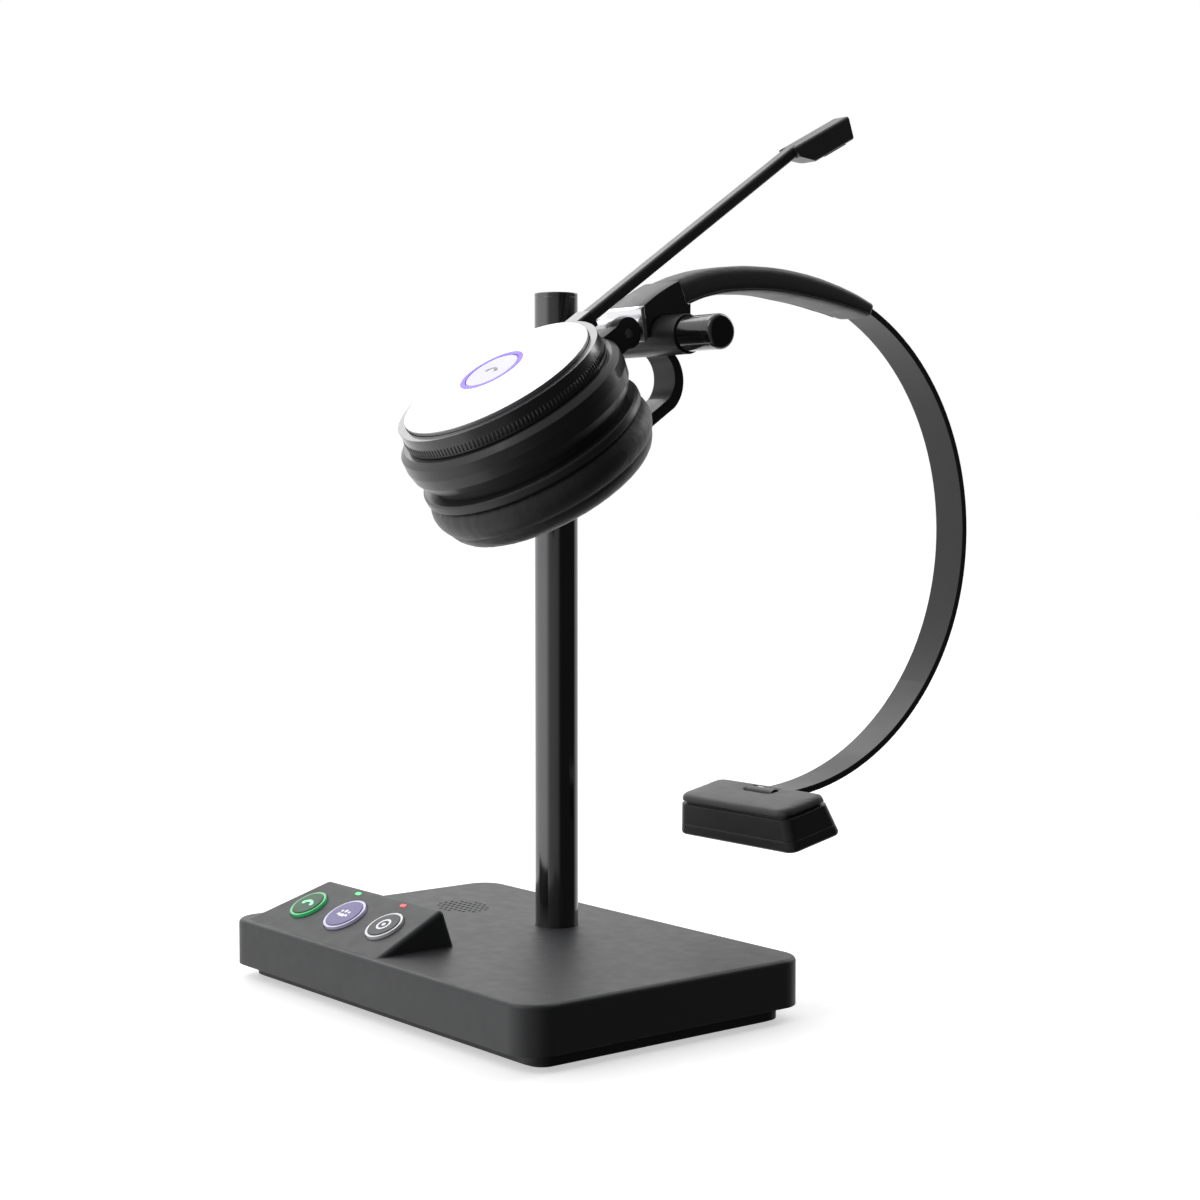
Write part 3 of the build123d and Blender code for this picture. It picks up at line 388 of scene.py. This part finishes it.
# ---------------------------------------------------------------- mesh helpers
def new_piece(name, body, material, mesh):
    """Object for a made mesh, riding on a body."""
    piece = bpy.data.objects.new(name, mesh)
    bpy.context.scene.collection.objects.link(piece)
    piece.data.materials.clear()
    piece.data.materials.append(material)
    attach(piece, body)
    return piece


def smooth(mesh):
    mesh.polygons.foreach_set("use_smooth", [True] * len(mesh.polygons))
    mesh.update()


def mesh_of(name, points, faces):
    mesh = bpy.data.meshes.new(name)
    mesh.from_pydata([tuple(p) for p in points], [], faces)
    mesh.validate()
    return mesh


def lofted(name, rings, closed=False):
    """Tube mesh through rings of points, capped at its ends unless it closes on itself."""
    count = len(rings[0])
    points = [p for ring in rings for p in ring]
    faces = []
    spans = len(rings) if closed else len(rings) - 1
    for row in range(spans):
        here = row * count
        there = ((row + 1) % len(rings)) * count
        for k in range(count):
            after = (k + 1) % count
            faces.append((here + k, here + after, there + after, there + k))
    if not closed:
        faces.append(tuple(range(count - 1, -1, -1)))
        faces.append(tuple(range((len(rings) - 1) * count, len(rings) * count)))
    return mesh_of(name, points, faces)


def evaluated_copy(piece):
    """The piece's mesh with its modifiers applied."""
    graph = bpy.context.evaluated_depsgraph_get()
    return bpy.data.meshes.new_from_object(piece.evaluated_get(graph))


def bake_modifiers(piece):
    mesh = evaluated_copy(piece)
    piece.modifiers.clear()
    piece.data = mesh


def soft_body(name, source_mesh, voxel, rounds, pinned, cap, pressure):
    """Padded form from a plain one: remeshed, rounded, then blown up as cloth between its held edges."""
    piece = bpy.data.objects.new(name, source_mesh)
    bpy.context.scene.collection.objects.link(piece)
    remesh = piece.modifiers.new("Remesh", "REMESH")
    remesh.mode = "VOXEL"
    remesh.voxel_size = voxel
    rounded = piece.modifiers.new("Rounded", "SMOOTH")
    rounded.factor = 0.5
    rounded.iterations = rounds
    bake_modifiers(piece)
    held = piece.vertex_groups.new(name="held")
    held.add([v.index for v in piece.data.vertices if pinned(v.co)], 1.0, "REPLACE")
    before = np.array([v.co for v in piece.data.vertices])
    cloth = piece.modifiers.new("Cloth", "CLOTH")
    cloth.settings.vertex_group_mass = "held"
    cloth.settings.use_pressure = True
    cloth.settings.uniform_pressure_force = pressure
    cloth.settings.effector_weights.gravity = 0.0
    cloth.settings.tension_stiffness = 12
    cloth.settings.bending_stiffness = 0.4
    scene = bpy.context.scene
    for step in range(1, 21):
        scene.frame_set(step)
    after = np.array([v.co for v in evaluated_copy(piece).vertices])
    piece.modifiers.clear()
    scene.frame_set(1)
    move = after - before
    length = np.linalg.norm(move, axis=1, keepdims=True)
    move *= np.minimum(1.0, cap / np.maximum(length, 1e-9))
    piece.data.vertices.foreach_set("co", (before + move).astype(np.float32).ravel())
    piece.data.update()
    finer = piece.modifiers.new("Finer", "SUBSURF")
    finer.levels = 1
    finer.render_levels = 1
    bake_modifiers(piece)
    smooth(piece.data)
    return piece


def crease(piece, rule):
    """Moves each vertex along its normal by rule(position), for wrinkles and sewn lines."""
    mesh = piece.data
    moved = [v.co + v.normal * rule(v.co) for v in mesh.vertices]
    mesh.vertices.foreach_set("co", np.array(moved, np.float32).ravel())
    mesh.update()


def as_padded(piece, body, node):
    """Puts the soft piece in the place of its plain solid."""
    slot = next(p["material_slot"] for p in frame["record"]["subparts"] if p["node"] == node)
    piece.data.materials.clear()
    piece.data.materials.append(materials[slot])
    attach(piece, body)
    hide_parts(node)


# ---------------------------------------------------------------- ear cushion
def cup_local(point):
    """Radius, turn and depth of a point in the cup's frame."""
    arm = point - CUP_CENTRE
    along = arm.dot(CUP_UP)
    return (arm.x ** 2 + along ** 2) ** 0.5, np.arctan2(along, arm.x), -arm.dot(CUP_OUT)


def cushion_wrinkles(point):
    """Soft puckers near the inner edge and a sewn line round the outside."""
    radius, turn, depth = cup_local(point)
    pucker = noise.noise(Vector((turn * 14, radius * 60, depth * 90)))
    inner = max(0.0, 1 - abs(radius - 17 * MM) / (6 * MM))
    sewn = max(0.0, 1 - abs(depth - 29.4 * MM) / (0.55 * MM))
    sewn *= 1.0 if radius > 25 * MM else 0.0
    return 0.16 * MM * pucker * inner + 0.05 * MM * pucker - 0.28 * MM * sewn


def make_cushion():
    source = frame["nodes"]["ear_cushion"].data.copy()
    piece = soft_body(
        "cushion_skin", source, 0.95 * MM, 4, lambda p: cup_local(p)[2] < 22.3 * MM, 0.55 * MM, 3.0,
    )
    crease(piece, cushion_wrinkles)
    as_padded(piece, "ear_cup", "ear_cushion")


# ---------------------------------------------------------------- headband sleeve
def on_arc(arc, turn, depth):
    """Point on a band arc at a turn in degrees, below its outer surface by depth in mm."""
    (y, z), radius = arc
    angle = radians(turn)
    reach = radius - depth
    return Vector((PLANE_X, (y + reach * sin(angle)) * MM, (z + reach * cos(angle)) * MM))


def band_arc(turn):
    if turn < BAND_TURNS[1]:
        return BAND_FRONT
    if turn < BAND_TURNS[2]:
        return BAND_TOP
    return BAND_REAR


def sleeve_thickness(turn):
    """Thickness of the sleeve at a turn, in mm."""
    taper = max(0.0, (turn - TAPER_START) / (BAND_TURNS[3] - TAPER_START))
    return SLEEVE_THICKNESS - SLEEVE_THINNING * taper ** TAPER_POWER


def band_section(turn, share):
    """Ring of the sleeve's rounded section at a turn; share is the place along it from 0 to 1."""
    thick = sleeve_thickness(turn)
    outer = on_arc(band_arc(turn), turn, 0.0)
    middle = on_arc(band_arc(turn), turn, thick / 2)
    out = (outer - middle).normalized()
    pull = 0.965 if share in (0.0, 1.0) else 1.0
    half_width = SLEEVE_HALF_WIDTH * pull
    half_thick = thick / 2 * pull
    ring = []
    for k in range(48):
        angle = 2 * pi * k / 48
        across = abs(cos(angle)) ** 0.42 * (1 if cos(angle) >= 0 else -1)
        up = abs(sin(angle)) ** 0.52 * (1 if sin(angle) >= 0 else -1)
        ripple = noise.noise(Vector((turn * 0.55, angle * 1.3, 4.0))) * 0.07
        ring.append(
            middle
            + Vector((half_width * across * MM, 0, 0))
            + out * ((half_thick * up + ripple) * MM)
        )
    return ring


def make_sleeve():
    """Leatherette sleeve over the headband's top."""
    steps = 110
    turns = [BAND_TURNS[0] + (BAND_TURNS[3] - BAND_TURNS[0]) * k / steps for k in range(steps + 1)]
    rings = [band_section(turn, k / steps) for k, turn in enumerate(turns)]
    rings.insert(1, band_section(turns[0] + 0.12, 0.5))
    piece = bpy.data.objects.new("band_sleeve", lofted("band_sleeve", rings))
    bpy.context.scene.collection.objects.link(piece)
    smooth(piece.data)
    as_padded(piece, "headband", "band_cover")


def make_piping():
    """Dark piping along each lower edge of the sleeve."""
    radius = PIPING_RADIUS * MM
    steps, sides = 90, 8
    points = []
    faces = []
    for side in (-1, 1):
        first = len(points)
        for row in range(steps + 1):
            turn = BAND_TURNS[0] + 1.0 + (BAND_TURNS[3] - BAND_TURNS[0] - 2.0) * row / steps
            depth = sleeve_thickness(turn) - PIPING_RISE
            arc = band_arc(turn)
            centre = on_arc(arc, turn, depth) + Vector((side * PIPING_SIDE * MM, 0, 0))
            inward = (on_arc(arc, turn, depth + 1.0) - on_arc(arc, turn, depth)).normalized()
            for k in range(sides):
                angle = 2 * pi * k / sides
                points.append(centre + (Vector((cos(angle), 0, 0)) + inward * sin(angle)) * radius)
        for row in range(steps):
            for k in range(sides):
                after = (k + 1) % sides
                here = first + row * sides
                faces.append((here + k, here + after, here + sides + after, here + sides + k))
        faces.append(tuple(first + k for k in range(sides - 1, -1, -1)))
        faces.append(tuple(first + steps * sides + k for k in range(sides)))
    mesh = mesh_of("band_piping", points, faces)
    smooth(mesh)
    new_piece("band_piping", "headband", thread_dark, mesh)


# ---------------------------------------------------------------- head pad
def make_head_pad():
    low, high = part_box("pad_cushion")
    middle = (low + high) / 2
    source = frame["nodes"]["pad_cushion"].data.copy()
    piece = soft_body(
        "pad_skin", source, 0.6 * MM, 5, lambda p: p.z < low.z + 0.9 * MM, 0.7 * MM, 3.0,
    )

    def wrinkle(point):
        ripple = noise.noise(Vector((point.x * 170, point.y * 260, 0)))
        rim = max(abs(point.x - middle.x) / (high.x - low.x), abs(point.y - middle.y) / (high.y - low.y)) * 2
        return 0.07 * MM * ripple * max(0.0, rim - 0.4)

    crease(piece, wrinkle)
    as_padded(piece, "head_pad", "pad_cushion")


# ---------------------------------------------------------------- knurled ring
def make_knurl():
    """Fine ribs round the turning ring, between two smooth bands."""
    count = 160
    top, bottom = 3.6, 5.7
    root, crest = 27.75, 28.05
    socket_half = 5.5
    points = []
    faces = []
    for k in range(count):
        turn = 2 * pi * k / count
        if sin(turn) > 0 and abs(cos(turn)) * root < socket_half:
            continue
        base = len(points)
        for depth, swell in ((top, 0.0), (top + 0.35, 1.0), (bottom - 0.35, 1.0), (bottom, 0.0)):
            for offset, lift in ((-0.3, 0.0), (-0.15, 0.8), (0.0, 1.0), (0.15, 0.8), (0.3, 0.0)):
                radius = root + (crest - root) * lift * swell
                angle = turn + offset / root
                local = Vector((radius * cos(angle), radius * sin(angle), -depth)) * MM
                points.append(CUP_FRAME @ local)
        for row in range(3):
            for column in range(4):
                here = base + row * 5 + column
                faces.append((here, here + 1, here + 6, here + 5))
    mesh = mesh_of("ring_knurl", points, faces)
    smooth(mesh)
    new_piece("ring_knurl", "boom", materials["ring_plastic"], mesh)


# ---------------------------------------------------------------- icons
def disc_points(x, y, radius, start=0.0, end=360.0, steps=28):
    span = [radians(start + (end - start) * k / steps) for k in range(steps + (0 if end - start >= 360 else 1))]
    return [(x + radius * cos(a), y + radius * sin(a)) for a in span]


def ring_points(x, y, inner, outer, start, end, steps=24):
    """Outline of a curved band."""
    turns = [radians(start + (end - start) * k / steps) for k in range(steps + 1)]
    return [(x + outer * cos(a), y + outer * sin(a)) for a in turns] + [
        (x + inner * cos(a), y + inner * sin(a)) for a in reversed(turns)
    ]


def handset_icon(size):
    """Plain telephone handset: a bow with two end pieces."""
    bow = ring_points(0, -0.55 * size, 0.75 * size, 1.1 * size, 38, 142)
    ends = []
    for side in (-1, 1):
        turn = radians(90 - side * 52)
        x = 0.92 * size * cos(turn)
        y = -0.55 * size + 0.92 * size * sin(turn)
        ends.append(disc_points(x, y - 0.05 * size, 0.26 * size))
    return [bow] + ends


def people_icon(size):
    """Plain group: three heads over three shoulders."""
    shapes = []
    for x, scale in ((-0.62, 0.75), (0.62, 0.75), (0.0, 1.0)):
        shapes.append(disc_points(x * size, 0.35 * size * scale, 0.24 * size * scale))
        shapes.append(disc_points(x * size, -0.55 * size * scale, 0.44 * size * scale, 0, 180))
    return shapes


def ring_icon(size):
    """Plain ring with a dot."""
    return [ring_points(0, 0, 0.62 * size, 0.86 * size, 0, 359.9, 48), disc_points(0, 0, 0.24 * size)]


def make_icon(name, body, material, shapes, place, thickness=0.04 * MM):
    """Thin raised print from flat outlines, in the plane of a 4x4 frame."""
    points = []
    faces = []
    for shape in shapes:
        base = len(points)
        count = len(shape)
        for level in (0.0, thickness):
            points.extend(place @ Vector((x, y, level)) for x, y in shape)
        faces.append(tuple(base + count + k for k in range(count)))
        for k in range(count):
            after = (k + 1) % count
            faces.append((base + k, base + after, base + count + after, base + count + k))
    mesh = mesh_of(name, points, faces)
    new_piece(name, body, material, mesh)


def face_frame(centre, out):
    """Frame on a surface, with X along the base and Y up the slope."""
    up = out.cross(Vector((1, 0, 0)))
    turn = Matrix((Vector((1, 0, 0)), up, out)).transposed().to_4x4()
    return Matrix.Translation(centre) @ turn


def key_face(node):
    """Frame on the top of a key's cap."""
    points = [vertex.co for vertex in frame["nodes"][node].data.vertices]
    top = max(point.dot(SLOPE_OUT) for point in points)
    face = [point for point in points if point.dot(SLOPE_OUT) > top - 0.05 * MM]
    middle = sum(face, Vector()) / len(face)
    return face_frame(middle + SLOPE_OUT * (top - middle.dot(SLOPE_OUT)), SLOPE_OUT)


def make_icons():
    size = 2.6 * MM
    make_icon("icon_call", "key_call", icon_green, handset_icon(size), key_face("key_call_cap"))
    make_icon("icon_meeting", "key_meeting", icon_white, people_icon(size), key_face("key_meeting_cap"))
    make_icon("icon_mute", "key_mute", icon_white, ring_icon(size), key_face("key_mute_cap"))
    top = max((v.co - CUP_CENTRE).dot(CUP_OUT) for v in frame["nodes"]["answer_button"].data.vertices)
    place = face_frame(CUP_CENTRE + CUP_OUT * top, CUP_OUT)
    make_icon("icon_answer", "answer_button", icon_faint, handset_icon(2.4 * MM), place, 0.03 * MM)


make_cushion()
make_sleeve()
make_piping()
make_head_pad()
make_knurl()
make_icons()


# ---------------------------------------------------------------- studio
TARGET = Vector((0.02, 0.02, 0.12))
CAMERA_AT = Vector((0.48098, -0.35464, 0.14069))
CAMERA_AIM = Vector((-0.77743, 0.62668, -0.05365))
TOWARDS = Vector((0.777, -0.627, 0.0)).normalized()
RIGHT = Vector((0.627, 0.777, 0.0)).normalized()


def make_camera():
    data = bpy.data.cameras.new("camera")
    data.lens = 66.03
    data.sensor_width = 36.0
    data.clip_start = 0.01
    camera = bpy.data.objects.new("camera", data)
    camera.location = CAMERA_AT
    camera.rotation_euler = CAMERA_AIM.to_track_quat("-Z", "Y").to_euler()
    bpy.context.scene.collection.objects.link(camera)
    bpy.context.scene.camera = camera


def backdrop_only(piece):
    """The piece shows behind the object, but is left out of its reflections and its light."""
    piece.visible_diffuse = False
    piece.visible_glossy = False
    piece.visible_transmission = False
    piece.visible_shadow = False


def make_floor():
    """Wide pale floor."""
    half = 6.0
    corners = [(-half, -half, 0), (half, -half, 0), (half, half, 0), (-half, half, 0)]
    floor = bpy.data.objects.new("floor", mesh_of("floor", corners, [(0, 1, 2, 3)]))
    bpy.context.scene.collection.objects.link(floor)
    paint = make_finish(
        "floor_paint", (0.80, 0.80, 0.80), 0.7, size=8.0, depth=0.05, swing=0.01, wear=0.0, glow=0.62,
    )
    floor.data.materials.append(paint)
    backdrop_only(floor)


def make_dome():
    """Pale dome round the studio, for the background."""
    points = []
    rows, columns = 24, 48
    for row in range(rows + 1):
        rise = pi * (row / rows - 0.5)
        for column in range(columns):
            turn = 2 * pi * column / columns
            points.append((8 * cos(rise) * cos(turn), 8 * cos(rise) * sin(turn), 8 * sin(rise)))
    faces = []
    for row in range(rows):
        for column in range(columns):
            after = (column + 1) % columns
            here = row * columns
            faces.append((here + column, here + columns + column, here + columns + after, here + after))
    dome = bpy.data.objects.new("dome", mesh_of("dome", points, faces))
    bpy.context.scene.collection.objects.link(dome)
    paint = make_finish("dome_paint", (0.0, 0.0, 0.0), 1.0, wear=0.0, glow=1.0, glow_colour=(1, 1, 1), specular=0.0)
    dome.data.materials.append(paint)
    backdrop_only(dome)


def make_light(name, offset, size_x, size_y, power):
    """Soft area light, aimed at the object."""
    data = bpy.data.lights.new(name, "AREA")
    data.shape = "RECTANGLE"
    data.size = size_x
    data.size_y = size_y
    data.energy = power
    light = bpy.data.objects.new(name, data)
    light.location = TARGET + offset
    light.rotation_euler = (-offset).to_track_quat("-Z", "Y").to_euler()
    bpy.context.scene.collection.objects.link(light)


def make_world():
    """Studio round the object: bright on the left and behind, dim in front, dark on the right."""
    world = bpy.data.worlds.new("studio")
    world.use_nodes = True
    tree = world.node_tree
    tree.nodes.clear()
    place = add(tree, "ShaderNodeTexCoord").outputs["Generated"]
    turn = add(tree, "ShaderNodeMapping", vector_type="VECTOR")
    turn.inputs["Rotation"].default_value = (0, 0, np.arctan2(-TOWARDS.y, TOWARDS.x))
    around = add(tree, "ShaderNodeTexGradient", gradient_type="RADIAL")
    ramp = add(tree, "ShaderNodeValToRGB")
    stops = (
        (0.00, 1.20), (0.10, 1.10), (0.34, 0.95), (0.40, 0.30), (0.52, 0.22), (0.56, 0.03),
        (0.80, 0.03), (0.86, 0.70), (1.00, 1.20),
    )
    ramp.color_ramp.elements[0].position = stops[0][0]
    ramp.color_ramp.elements[0].color = rgba((stops[0][1],) * 3)
    ramp.color_ramp.elements[1].position = stops[-1][0]
    ramp.color_ramp.elements[1].color = rgba((stops[-1][1],) * 3)
    for position, level in stops[1:-1]:
        stop = ramp.color_ramp.elements.new(position)
        stop.color = rgba((level,) * 3)
    split = add(tree, "ShaderNodeSeparateXYZ")
    overhead = remap_world(tree, split.outputs["Z"])
    mixed = add(tree, "ShaderNodeMix", data_type="RGBA")
    mixed.inputs[7].default_value = (1.0, 1.0, 1.0, 1.0)
    background = add(tree, "ShaderNodeBackground", {"Strength": 1.0})
    output = add(tree, "ShaderNodeOutputWorld")
    join(
        tree,
        (place, turn.inputs["Vector"]),
        (place, split.inputs[0]),
        (turn.outputs[0], around.inputs[0]),
        (around.outputs["Fac"], ramp.inputs[0]),
        (overhead, mixed.inputs[0]),
        (ramp.outputs[0], mixed.inputs[6]),
        (mixed.outputs[2], background.inputs["Color"]),
        (background.outputs[0], output.inputs[0]),
    )
    bpy.context.scene.world = world


def remap_world(tree, height):
    """Share of the overhead softbox, growing from 50 degrees up."""
    return remap(tree, height, sin(radians(50)), sin(radians(75)), 0.0, 0.35)


make_camera()
make_floor()
make_dome()
make_world()
make_light("plate_light", Vector((-0.777, 0.184, 0.601)) * 1.25 + CUP_CENTRE - TARGET, 0.7, 0.7, 2.2)
make_light("key_light", Vector((0, 0, 1.1)) - RIGHT * 0.9 + TOWARDS * 0.5, 0.8, 0.8, 4.0)
make_light("rim_light", Vector((0, 0, 0.7)) + RIGHT * 0.8 - TOWARDS * 0.6, 0.3, 0.9, 3.0)
bpy.context.scene.view_settings.view_transform = "Standard"

bpy.context.view_layer.update()
